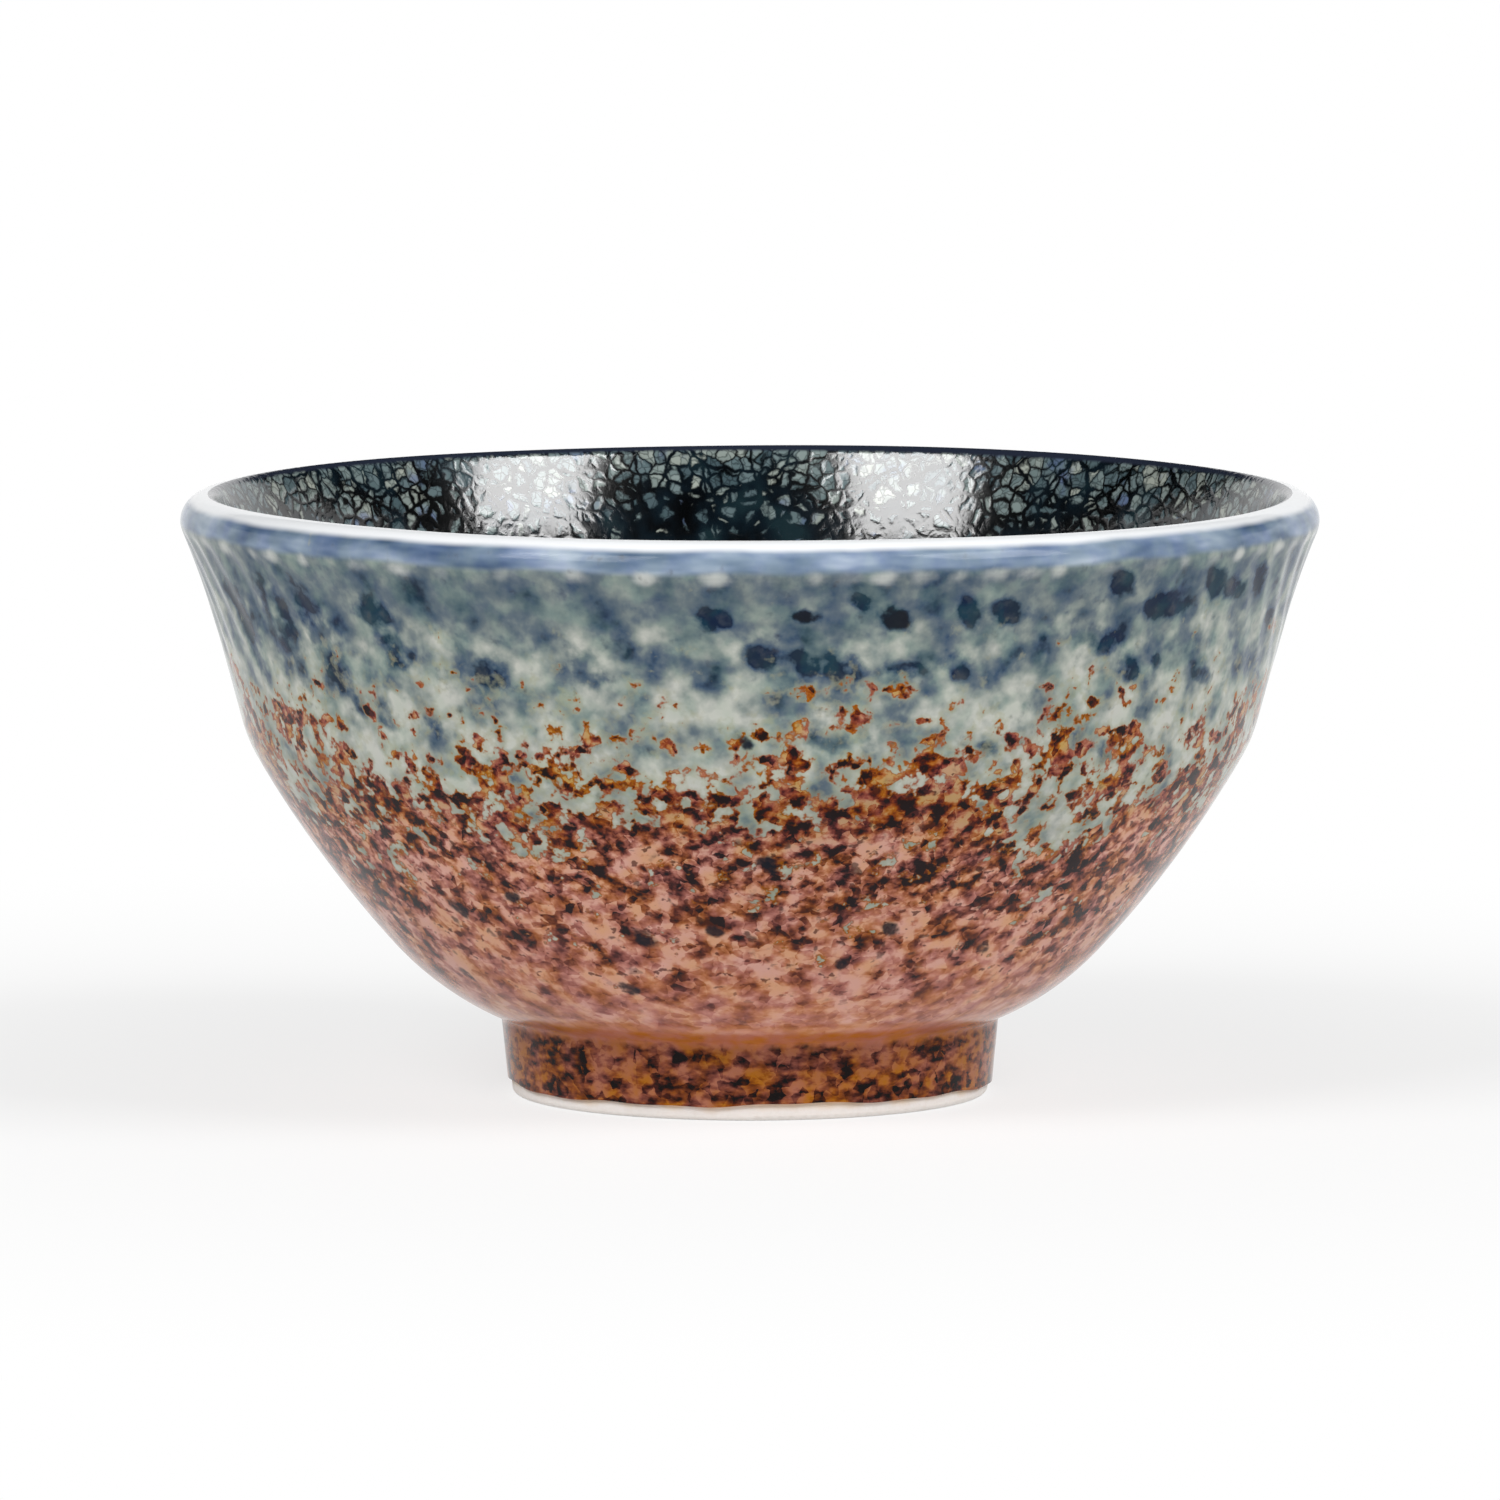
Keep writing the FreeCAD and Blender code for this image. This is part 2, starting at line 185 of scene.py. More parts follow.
# The lip's round touches the flare, and leaves room for the wall and the inner round.
flare_drop = FLARE_DEPTH + FLARE_RADIUS * sine(WALL_LEAN)
inner_room = 2 * INNER_ROUND * (FLARE_RADIUS - flare_drop)
lip_round = ((WALL * (WALL + 2 * FLARE_RADIUS - 2 * INNER_ROUND) - inner_room)
             / (2 * (FLARE_RADIUS + flare_drop)))
lip_to_flare = FLARE_RADIUS + lip_round
flare_top = math.degrees(math.asin((flare_drop - lip_round) / lip_to_flare))
flare_out = lip_to_flare * cosine(flare_top)
wall_length = (CREST - FLARE_DEPTH - SHOULDER_HEIGHT) / cosine(WALL_LEAN)
wall_foot = (RIM_RADIUS - lip_round + flare_out - FLARE_RADIUS * cosine(WALL_LEAN)
             - wall_length * sine(WALL_LEAN))

# The belly is two arcs, and its slopes at the top, middle and foot fix their radii.
shoulder_x = wall_foot - SHOULDER_RADIUS * cosine(WALL_LEAN)
shoulder_z = SHOULDER_HEIGHT + SHOULDER_RADIUS * sine(WALL_LEAN)
straight_way = math.degrees(math.atan((wall_foot - FOOT_RADIUS) / (SHOULDER_HEIGHT - FOOT_HEIGHT)))
top, middle, low = (straight_way + swing for swing in BELLY_SWINGS)
high_belly, low_belly = np.linalg.solve(
    [[cosine(top) - cosine(middle), cosine(middle) - cosine(low)],
     [sine(middle) - sine(top), sine(low) - sine(middle)]],
    [shoulder_x + SHOULDER_RADIUS * cosine(top) - FOOT_RADIUS,
     shoulder_z - SHOULDER_RADIUS * sine(top) - FOOT_HEIGHT],
)
cove_out = low_belly * cosine(low - FOOT_TAPER) + COVE_RADIUS
cove_top = FOOT_TAPER + math.degrees(math.acos(cove_out / (low_belly + COVE_RADIUS)))

# Tangent stretches from the crest of the lip to the table. Each has its radius, negative where
# it is hollow, and how far it faces down at its ends; a straight has its length.
OUTSIDE = [
    (lip_round, -90, flare_top),
    (-FLARE_RADIUS, flare_top, WALL_LEAN),
    (wall_length, WALL_LEAN, WALL_LEAN),
    (SHOULDER_RADIUS, WALL_LEAN, top),
    (high_belly, top, middle),
    (low_belly, middle, cove_top),
    (-COVE_RADIUS, cove_top, FOOT_TAPER),
    (FOOT_HEIGHT, FOOT_TAPER, FOOT_TAPER),
]


def walk(start, stretches):
    """Fine steps along the stretches: radius, height and the two parts of the outward normal."""
    rows, spot = [], np.array(start, float)
    for size, first, last in stretches:
        straight = first == last
        length = size if straight else abs(size * math.radians(last - first))
        share = np.linspace(0, 1, max(3, int(length / 0.02)))[:, None]
        facing = np.radians(first + (last - first) * share)
        normal = np.hstack([np.cos(facing), -np.sin(facing)])
        if straight:
            spots = spot + share * size * [-math.sin(facing[0, 0]), -math.cos(facing[0, 0])]
        else:
            spots = spot + size * (normal - normal[0])
        rows.append(np.hstack([spots, normal]))
        spot = spots[-1]
    return np.vstack(rows)


outline = walk((RIM_RADIUS - lip_round, CREST), OUTSIDE)


def between(line, top, bottom, step):
    """Rows of an outline between two heights, a step apart, with one more row past each end."""
    along = np.concatenate([[0], np.cumsum(np.hypot(*np.diff(line[:, :2], axis=0).T))])
    first, last = (np.interp(-z, -line[:, 1], along) for z in (top, bottom))
    count = max(2, round((last - first) / step))
    stops = np.linspace(first, last, count + 1)
    rows = np.stack([np.interp(stops, along, line[:, i]) for i in range(4)], 1)
    return np.vstack([2 * rows[:1] - rows[1:2], rows, 2 * rows[-1:] - rows[-2:-1]])


# The throwing left the wall in shallow slanting flutes that begin under the lip and die out
# half-way down. Each flute's head holds a pearl, partly milky glaze and partly a painted highlight.
# Places are degrees from the front.
FLUTE_SLANT = 0.55  # degrees round for each millimetre down
FLUTE_DEPTH = 0.16
FLUTE_HALF = 2.9  # half a flute's width, in degrees
FLUTE_HEADS = 60.0  # their height above the table
FLUTES_BEGIN = 59.2, 60.8  # between these heights
FLUTES_DIE_OUT = 41, 53
FLUTE_SPACING = 3.9, 6.4  # degrees, at random round the back
FLUTE_ROOM = 6.5  # left before the first flute comes round again
RIPPLE = 0.02  # how far each of the glaze's soft ripples stands up
WARP = 0.0016  # of the radius, at the lip
SAG = 0.09  # how far the lip's height wavers
PEARLS = [-72, -66, -59.5, -56, -50.5, -42.8, -37, -31.8, -25, -17.5, -10.3, -3.5, 1.8, 6.5, 10,
          13.3, 17.3, 20.8, 25, 28.5, 32, 38, 43.5, 48.5, 53, 58, 62.5, 67, 72, 77.5]
chance = np.random.default_rng(12)
while PEARLS[-1] < 360 + PEARLS[0] - FLUTE_ROOM:
    PEARLS.append(PEARLS[-1] + chance.uniform(*FLUTE_SPACING))
PEARLS = np.array(PEARLS)


def step_up(x, low, high):
    """A smooth step from 0 at low to 1 at high."""
    share = np.clip((x - low) / (high - low), 0, 1)
    return share * share * (3 - 2 * share)


def apart(first, second):
    """Degrees from one place to another, the short way round."""
    return (first - second + 180) % 360 - 180


def fluted(turn, height):
    """How deep in a flute a place is, from 0 on the ridges to 1."""
    slanted = turn - FLUTE_SLANT * (FLUTE_HEADS - height)
    nearest = np.min(np.abs(apart(slanted[..., None], PEARLS)), axis=-1)
    scoop = np.cos(np.clip(nearest / FLUTE_HALF, 0, 1) * math.pi) * 0.5 + 0.5
    return scoop * step_up(height, *FLUTES_DIE_OUT) * (1 - step_up(height, *FLUTES_BEGIN))


def relief(turn, height):
    """How far the outer glaze stands off the outline: the flutes, and soft ripples in the glaze."""
    ripple = (np.sin(np.radians(turn * 9 + height * 14)) + np.sin(np.radians(turn * 14 - height * 9 + 50))
              + np.sin(np.radians(turn * 23 + height * 21 + 200)))
    fade = step_up(height, 2, 8) * (1 - step_up(height, 59, 62))
    return -FLUTE_DEPTH * fluted(turn, height) + RIPPLE * ripple * fade


def settle(places):
    """The slight warp of a fired bowl, a tenth of a millimetre, in places of x, y and z."""
    turn = np.arctan2(places[..., 1], places[..., 0])
    lift = np.clip(places[..., 2] / CREST, 0, 1)
    out = 1 + WARP * lift ** 2 * (np.sin(2 * turn + 0.9) + 0.5 * np.sin(3 * turn))
    sag = SAG * lift ** 6 * (np.sin(2 * turn - 0.4) + 0.6 * np.sin(5 * turn + 2) - 1.4)
    return np.stack([places[..., 0] * out, places[..., 1] * out, places[..., 2] + sag], -1)


TURNS = 720  # steps around, about half a millimetre apart at the rim
BACK_ROWS = 5  # rows of a coat's front for each row of its back
EDGE_REACH = 2.5  # how far up from a wavering edge its rows still move
SHARP = 50  # degrees between faces that meet in a hard edge


def turned(radius, height):
    """Places around the bowl's axis for each row; 0 degrees is the front and + is to the right."""
    turn = np.radians(np.arange(TURNS) * 360 / TURNS)
    radius, height = (np.broadcast_to(v.reshape(len(v), -1), (len(v), TURNS)) for v in (radius, height))
    return np.stack([radius * np.sin(turn), -radius * np.cos(turn), height], -1)


def front_of(rows, stand_off):
    """The places and true normals of a coat's surface, and which way its faces run: 1 or -1.

    Rows have one extra at each end."""
    turn = np.arange(TURNS) * 360.0 / TURNS
    off = stand_off(turn[None, :], np.repeat(rows[:, 1:2], TURNS, 1)) if stand_off else 0 * turn
    grid = settle(turned(rows[:, 0:1] + rows[:, 2:3] * off, rows[:, 1:2] + rows[:, 3:4] * off))
    across = np.roll(grid, -1, 1) - np.roll(grid, 1, 1)
    normals = np.cross(across[1:-1], grid[:-2] - grid[2:])
    normals /= np.linalg.norm(normals, axis=-1, keepdims=True)
    facing_out = np.sum(rows[1:-1, 3] * normals[:, 0, 2] - rows[1:-1, 2] * normals[:, 0, 1]) > 0
    way = 1 if facing_out else -1
    return grid[1:-1], normals * way, way


def coat(name, rows, depth, material, stand_off=None, edge=None, centre=False):
    """A closed coat of glaze: a fine front with true normals, a plainer back, and its edges.

    Rows are from between(). stand_off gives the front's relief. edge lifts and drops the last
    rows around the piece. A coat with a centre runs on to the bowl's axis."""
    turn = np.arange(TURNS) * 360.0 / TURNS
    front, normals, way = front_of(rows, stand_off)
    kept = rows[1:-1]
    thin = kept[np.unique(np.linspace(0, len(kept) - 1, max(4, len(kept) // BACK_ROWS)).astype(int))][::-1]
    back = settle(turned(thin[:, 0:1] - depth * thin[:, 2:3], thin[:, 1:2] - depth * thin[:, 3:4]))
    if edge is not None:
        for grid, line in ((front, kept), (back, thin)):
            share = step_up(-line[:, 1:2], -kept[-1, 1] - EDGE_REACH, -kept[-1, 1])
            grid[..., 2] += share * edge(turn)
    grid = np.vstack([front, back])
    index = np.arange(len(grid) * TURNS).reshape(len(grid), TURNS)
    rings = [(i, (i + 1) % len(grid)) for i in range(len(grid)) if not (centre and i == len(front) - 1)]
    faces = [
        np.stack([index[i], index[j], np.roll(index[j], -1), np.roll(index[i], -1)], -1) for i, j in rings
    ]
    spots, faces = grid.reshape(-1, 3), np.vstack(faces).tolist()
    if centre:
        for ring, order in ((len(front) - 1, 1), (len(front), -1)):
            pole = len(spots)
            spots = np.vstack([spots, [[0, 0, grid[ring, 0, 2]]]])
            fan = zip(index[ring].tolist(), np.roll(index[ring], -1).tolist())
            faces += [[a, pole, b][::order] for a, b in fan]
    mesh = bpy.data.meshes.new(name)
    mesh.from_pydata((spots * MM).tolist(), [], [face[::way] for face in faces])
    mesh.polygons.foreach_set("use_smooth", [True] * len(mesh.polygons))
    mesh.set_sharp_from_angle(angle=math.radians(SHARP))
    corners = np.zeros(len(mesh.loops), int)
    mesh.loops.foreach_get("vertex_index", corners)
    starts, totals = np.zeros(len(mesh.polygons), int), np.zeros(len(mesh.polygons), int)
    mesh.polygons.foreach_get("loop_start", starts)
    mesh.polygons.foreach_get("loop_total", totals)
    normals = normals.reshape(-1, 3)
    on_front = corners < len(normals)
    whole = np.minimum.reduceat(on_front, starts)
    on_front &= np.repeat(whole, totals)
    true = np.zeros((len(corners), 3))
    true[on_front] = normals[corners[on_front]]
    mesh.normals_split_custom_set(true.tolist())
    mesh.materials.append(material)
    piece = bpy.data.objects.new(name, mesh)
    bpy.context.scene.collection.objects.link(piece)
    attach(piece, "root")
    return piece


def mark(piece, name, strength):
    """A number at each of the piece's vertices, from its degrees round and its height."""
    mesh = piece.data
    spots = np.zeros(len(mesh.vertices) * 3)
    mesh.vertices.foreach_get("co", spots)
    x, y, z = spots.reshape(-1, 3).T / MM
    value = strength(np.degrees(np.arctan2(x, -y)), z, np.hypot(x, y))
    mesh.attributes.new(name, "FLOAT", "POINT").data.foreach_set("value", value.astype(np.float32))


PATCH_LEAN = FLUTE_SLANT * 0.6  # patches slant a little less than the flutes


def patches(listed, soft=1.0):
    """A field that is 1 inside each listed patch. A patch is its degrees round and its height above
    the table, and how wide and tall it is."""
    def strength(turn, z, radius):
        total = np.zeros(len(turn))
        for angle, height, wide, tall in listed:
            rise = z - height
            aside = apart(turn + PATCH_LEAN * rise, angle) * math.pi / 180 * radius
            far = np.sqrt((aside / wide) ** 2 + (rise / tall) ** 2) * 2
            total = np.maximum(total, 1 - step_up(far, 1 - 0.7 * soft, 1 + 0.7 * soft))
        return total
    return strength


# Where the thick upper glaze pooled dark, in degrees, height, width and height of each pool.
POOLS = [
    (-66.8, 52.3, 4.4, 9), (-58.5, 52.5, 4.6, 9), (-51.5, 52.6, 4.4, 8), (-49.5, 48.6, 2.8, 5),
    (-47, 45.5, 2, 3.4), (-42, 55, 4, 3), (-39.6, 51.2, 3.2, 3.6), (-43.3, 44, 2, 2.6),
    (-36.5, 43.8, 1.8, 2.8), (-28, 49.4, 4, 3.2), (-17, 50.4, 3.2, 4), (-3.5, 55.6, 3.2, 2.2),
    (-0.5, 42.8, 1.4, 1.5), (1, 51.8, 3.4, 3), (5.5, 56, 3, 1.4), (11.2, 57.4, 2, 1.6),
    (14.7, 55.7, 3.2, 2.6), (5.5, 51.2, 2.8, 2.4), (10, 50.5, 3.6, 3), (16.5, 50.2, 4, 1.6),
    (22, 50.6, 2.8, 3), (8.5, 43.3, 4.4, 3.2), (12.5, 42.6, 1.8, 2.8), (22.7, 56, 2.8, 2.8),
    (27, 56, 4, 2.4), (40.5, 58.2, 3.4, 2.6), (39.5, 52.2, 4.4, 2.6), (47.5, 55.3, 6.5, 2.6),
    (55.5, 57.2, 3.4, 3.2), (59.5, 56.2, 5, 2), (65, 57.2, 3, 3.2), (44, 49, 2.8, 2.6),
    (48.2, 49.4, 1.6, 1.4), (43.5, 40.4, 3, 2.2), (27, 41.4, 3, 1.6), (57.5, 47.2, 3, 1.6),
]
# Where iron broke through it in rust-coloured spots.
RUST_SPOTS = [
    (-15, 43.4, 1.3, 3), (-13.7, 40, 2.2, 1.1), (-8.7, 42.3, 1.6, 1.4), (-5, 42, 2.8, 1.2),
    (-2.3, 42.6, 1.4, 1.8), (-30.7, 41.4, 1.5, 2.6), (-31, 38.8, 3.4, 2.6), (-39.5, 42.4, 1.2, 1.4),
    (-39, 44.4, 0.9, 0.9), (-50.7, 42.3, 1.5, 1.4), (16.5, 47.9, 3.3, 2.2), (11.6, 45.3, 1.4, 1.4),
    (18.3, 45, 1.2, 1), (15.5, 42.4, 1.7, 1.2), (26, 43.7, 1.6, 1.3), (30, 42.2, 2.2, 2.2),
    (33.3, 47.2, 1.9, 1.7), (39, 49.2, 1.5, 1), (39.8, 45.8, 1.3, 1), (42, 42.5, 1, 1),
    (45, 45.3, 1.6, 1.2), (52.5, 46.8, 2.2, 2.4), (50.3, 45.2, 2.2, 1.1), (46.8, 42.8, 1.5, 1.5),
    (58.8, 45.3, 2.4, 1.1), (1.3, 43.7, 1.6, 1.3), (1.8, 41, 2.2, 1.2), (4.8, 44.8, 1, 0.9),
    (37.5, 40.8, 5, 4), (21, 40.2, 4, 2),
]
# Black specks of ore, most of them in the lower glaze.
ORE = [
    (5.5, 56, 2.8, 1.4), (14.7, 55.7, 3, 2.4), (-0.5, 42.8, 1.4, 1.5), (-15, 21, 2.2, 2.4),
    (-5, 22, 2.2, 1.2), (14, 18, 1.6, 1.5), (20, 22, 1.8, 1.6), (37, 19, 1.8, 1.5),
    (-20, 15, 2.4, 1.6), (-54, 15, 1.8, 1.4), (-33, 25, 1.8, 1.6), (2, 29.5, 2.0, 2.4),
    (-44, 23, 2.2, 2.0),
]


REST_OF_WAY = 72, 284  # degrees
UNLIKE = 0.5, 1.4  # of the usual size


def scattered(count, low, high, wide, tall):
    """More such patches for the rest of the way round, at random but the same each time."""
    return [(chance.uniform(*REST_OF_WAY), chance.uniform(low, high), wide * chance.uniform(*UNLIKE),
             tall * chance.uniform(*UNLIKE)) for _ in range(count)]


POOLS += scattered(58, 42, 58, 3.6, 3)
RUST_SPOTS += scattered(60, 39, 47, 1.7, 1.5)
ORE += scattered(16, 12, 30, 2, 1.7)
LIP_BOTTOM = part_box("lip_glaze")[0].z / MM


def grains(tree, place, size, seed=0.0):
    """Crystals with crisp ragged edges, each with its own value from 0 to 1. size is in mm."""
    moved = add(tree, "Mapping", {"Vector": place, "Location": (seed, -seed, seed * 0.3),
                                  "Scale": (1 / size,) * 3})
    cells = add(tree, "TexVoronoi", {"Vector": moved, "Scale": 1.0})
    return add(tree, "SeparateXYZ", {0: cells.outputs["Color"]}).outputs["X"]


def shaken(tree, place, grain, reach, seed):
    """Places pushed about by up to half of reach, in millimetres, so that shapes turn ragged."""
    random = mottling(tree, place, grain, 3, seed).outputs["Color"]
    push = add(tree, "VectorMath", {0: random, "Scale": reach}, operation="SCALE")
    return add(tree, "VectorMath", {0: place, 1: push}, operation="ADD")


def varied(tree, level, field, strength):
    """A level, plus how far a mottling is from its middle, times a strength."""
    swing = add(tree, "Math", {0: field, 1: 0.5}, operation="SUBTRACT")
    swing = add(tree, "Math", {0: swing, 1: strength}, operation="MULTIPLY")
    return add(tree, "Math", {0: level, 1: swing}, operation="ADD")


RAGGEDNESS = 2.2


def marked(tree, name, edge):
    """A vertex mark with a ragged edge from a mottling."""
    inside = add(tree, "Attribute", attribute_name=name).outputs["Fac"]
    return varied(tree, inside, edge, RAGGEDNESS)


# The upper glaze's colours from thin to thick, the same where it turned green, and its colours on
# the lip from pale to deep.
CLOUDY = "c0c2ba", "a6aba4", "88928e", "647179", "44576a", "12243a"
CELADON = "b0b8ac", "7f938b", "1d4450"
LIP_BLUE = "a9b6c6", "8495ab", "667990", "465a74"
# The iron glaze's colours from clean to burnt: on the belly, in the rust above it and on the foot.
SALMON = "d5a38c", "bb7c65", "985944", "5f2d22", "1f1214"
RUST = "b89468", "ab6a44", "873f26", "511a12", "190b0c"
BURNT = "ad6f45", "915234", "733d29", "431a10", "0d0505"
# milky glaze at each flute's head, with a painted highlight in it
PEARL_WHITE_AND_GLINT = "ced1cc"
# white clay through the drained glaze, brightened by a painted highlight along the crest
CREST_WHITE_AND_HIGHLIGHT = "f0f2f4"
SEED_BLACK = "1b1114"
FLECK_BROWN = "4c2018"
# thin pale glaze in the cove, with a painted highlight along it
COVE_PALE_AND_HIGHLIGHT = "d09a80"
COVE_BROWN = "b26b42"
SAGE = "a3a389"
EMBER = "96552c"
ORE_BLACK = "10141f"

RUST_LINE = 37  # the height where rust and the upper glaze cover about half each
RUST_FADE = 0.0098  # how fast rust gives way, for each millimetre up


def glaze(name):
    """The outer glaze as one finish over every coat, so no coat shows a seam.

    It gives a wet gloss over a mottled body colour. The upper glaze is cream where it ran thin and
    navy where it pooled; iron breaks through its edge in rust, and burns salmon to black below.
    Spacings and heights above the table are in millimetres."""
    material, tree, surface, place = finish_of(name)
    height = add(tree, "SeparateXYZ", {0: place}).outputs["Z"]
    drift = mottling(tree, place, 9, 2, 3)
    wander = varied(tree, height, drift, 12)
    ragged_place = shaken(tree, place, 2.0, 1.5, 5)
    crystals = grains(tree, ragged_place, 1.1)
    ragged = mottling(tree, place, 1.8, 3, 53)
    grit = mottling(tree, place, 1.1, 2, 61)

    # The upper glaze is thickest under the lip, in its clouds, down the flutes and in the pools.
    broad = mottling(tree, place, 4.6, 2, 11, 1.1)
    billows = mottling(tree, place, 2.6, 3, 17)
    clouds = add(tree, "Mix", {0: 0.4, 2: broad, 3: billows})
    flutes = add(tree, "Attribute", attribute_name="flutes").outputs["Fac"]
    pools = marked(tree, "pools", ragged)
    under_lip = add(tree, "MapRange", {0: wander, 1: 52, 2: 56.5}, **SOFT)
    run_down = add(tree, "MapRange", {0: wander, 1: 40, 2: 51, 3: 0.22, 4: 0.34}, **SOFT)
    by_lip = add(tree, "Math", {0: under_lip, 1: 0.2}, operation="MULTIPLY")
    in_flutes = add(tree, "Math", {0: flutes, 1: 0.2}, operation="MULTIPLY")
    in_pools = add(tree, "MapRange", {0: pools, 1: 0.0, 2: 1.35, 3: 0, 4: 0.6}, **SOFT)
    cloudiness = add(tree, "MapRange", {0: under_lip, 3: 3.2, 4: 1.6})
    thick = add(tree, "Math", {0: run_down, 1: by_lip}, operation="ADD")
    thick = varied(tree, thick, clouds, cloudiness)
    thick = varied(tree, thick, grit, 0.28)
    thick = add(tree, "Math", {0: thick, 1: in_flutes}, operation="ADD")
    thick = add(tree, "Math", {0: thick, 1: in_pools}, operation="ADD")
    cloudy = add(tree, "ValToRGB", {0: thick}, colours=CLOUDY)
    celadon = add(tree, "ValToRGB", {0: thick}, colours=CELADON)
    greened = mottling(tree, place, 3.4, 3, 103)
    greened = add(tree, "MapRange", {0: greened, 1: 0.46, 2: 0.64, 3: 0, 4: 0.5}, **SOFT)
    upper = add(tree, "Mix", {0: greened, 6: cloudy, 7: celadon}, data_type="RGBA").outputs[2]

    # On the lip it drained into streaks, with a pearl at the head of each flute that is partly milky
    # glaze and partly a painted highlight.
    drawn_out = mottling(tree, place, 8, 2, 37, 3.5)
    streaks = varied(tree, 0.5, drawn_out, 2.2)
    streaked = add(tree, "ValToRGB", {0: streaks}, colours=LIP_BLUE)
    lip_edge = varied(tree, height, drift, 1.2)
    on_lip = add(tree, "MapRange", {0: lip_edge, 1: 60.2, 2: 61.0}, **SOFT)
    upper = add(tree, "Mix", {0: on_lip, 6: upper, 7: streaked}, data_type="RGBA").outputs[2]
    pearls = add(tree, "Attribute", attribute_name="pearls").outputs["Fac"]
    pearls = varied(tree, pearls, ragged, 0.8)
    milky_and_glinting = add(tree, "MapRange", {0: pearls, 1: 0.0, 2: 1.0, 3: 0, 4: 0.85}, **SOFT)
    upper = add(tree, "Mix", {0: milky_and_glinting, 6: upper, 7: linear(PEARL_WHITE_AND_GLINT)},
                data_type="RGBA").outputs[2]

    # The iron glaze burnt darker and closer-grained the higher it lies on the belly.
    wide = mottling(tree, place, 2.9, 3, 23, 1.2)
    close = mottling(tree, place, 1.8, 3, 24, 1.2)
    blotches = mottling(tree, place, 7, 2, 29, 1.2)
    closer = add(tree, "MapRange", {0: wander, 1: 20, 2: 29}, **SOFT)
    mottle = add(tree, "Mix", {0: closer, 2: wide, 3: close})
    mottle = add(tree, "Mix", {0: 0.25, 2: mottle, 3: blotches})
    mottle = add(tree, "Mix", {0: 0.12, 2: mottle, 3: crystals})
    burn = add(tree, "MapRange", {0: wander, 1: 13, 2: 34, 3: 0.27, 4: 0.53}, **SOFT)
    contrast = add(tree, "MapRange", {0: wander, 1: 11, 2: 24, 3: 2.2, 4: 5.8}, **SOFT)
    grittiness = add(tree, "MapRange", {0: height, 1: 11, 2: 22, 3: 0.4, 4: 0.8}, **SOFT)
    burn = varied(tree, burn, mottle, contrast)
    burn = varied(tree, burn, grit, grittiness)
    salmon = add(tree, "ValToRGB", {0: burn}, colours=SALMON)
    rust = add(tree, "ValToRGB", {0: burn}, colours=RUST)
    in_rust = add(tree, "MapRange", {0: wander, 1: 30, 2: 36}, **SOFT)
    lower = add(tree, "Mix", {0: in_rust, 6: salmon, 7: rust}, data_type="RGBA").outputs[2]

    # Burnt seeds lie over the belly, and finer brown flecks from just above the cove.
    seeds = mottling(tree, ragged_place, 1.7, 2, 73)
    seeds = add(tree, "MapRange", {0: seeds, 1: 0.62, 2: 0.72, 3: 0, 4: 0.7}, **SOFT)
    seeded = add(tree, "MapRange", {0: height, 1: 13, 2: 20}, **SOFT)
    seeds = add(tree, "Math", {0: seeds, 1: seeded}, operation="MULTIPLY")
    lower = add(tree, "Mix", {0: seeds, 6: lower, 7: linear(SEED_BLACK)}, data_type="RGBA").outputs[2]
    flecks = mottling(tree, place, 1.25, 2, 79, 1.4)
    flecks = add(tree, "MapRange", {0: flecks, 1: 0.62, 2: 0.68, 3: 0, 4: 0.8}, **SOFT)
    flecked = add(tree, "MapRange", {0: height, 1: 11, 2: 17}, **SOFT)
    flecks = add(tree, "Math", {0: flecks, 1: flecked}, operation="MULTIPLY")
    lower = add(tree, "Mix", {0: flecks, 6: lower, 7: linear(FLECK_BROWN)},
                data_type="RGBA").outputs[2]

    # It runs thin and pale into the cove, where a painted highlight also lies along it, and burns brown
    # below it. The foot's mottling is wide and low, and darkest by the table.
    in_cove = add(tree, "MapRange", {0: height, 1: 10.9, 2: 10.2, 3: 0, 4: 0.45}, **SOFT)
    below_cove = add(tree, "MapRange", {0: height, 1: 10.0, 2: 9.2, 3: 0, 4: 0.8}, **SOFT)
    lower = add(tree, "Mix", {0: in_cove, 6: lower, 7: linear(COVE_PALE_AND_HIGHLIGHT)},
                data_type="RGBA").outputs[2]
    lower = add(tree, "Mix", {0: below_cove, 6: lower, 7: linear(COVE_BROWN)},
                data_type="RGBA").outputs[2]
    scorch = mottling(tree, place, 1.9, 3, 91, 2.0)
    scorch_patches = mottling(tree, place, 7, 2, 97, 1.5)
    scorch = add(tree, "Mix", {0: 0.3, 2: scorch, 3: scorch_patches})
    scorch = add(tree, "Mix", {0: 0.14, 2: scorch, 3: crystals})
    foot = add(tree, "MapRange", {0: height, 1: 1.8, 2: 5.5, 3: 0.58, 4: 0.34}, **SOFT)
    foot = varied(tree, foot, scorch, 5.2)
    burnt = add(tree, "ValToRGB", {0: foot}, colours=BURNT)
    foot_edge = varied(tree, height, ragged, 2.5)
    on_foot = add(tree, "MapRange", {0: foot_edge, 1: 8.3, 2: 7.3}, **SOFT)
    lower = add(tree, "Mix", {0: on_foot, 6: lower, 7: burnt}, data_type="RGBA").outputs[2]

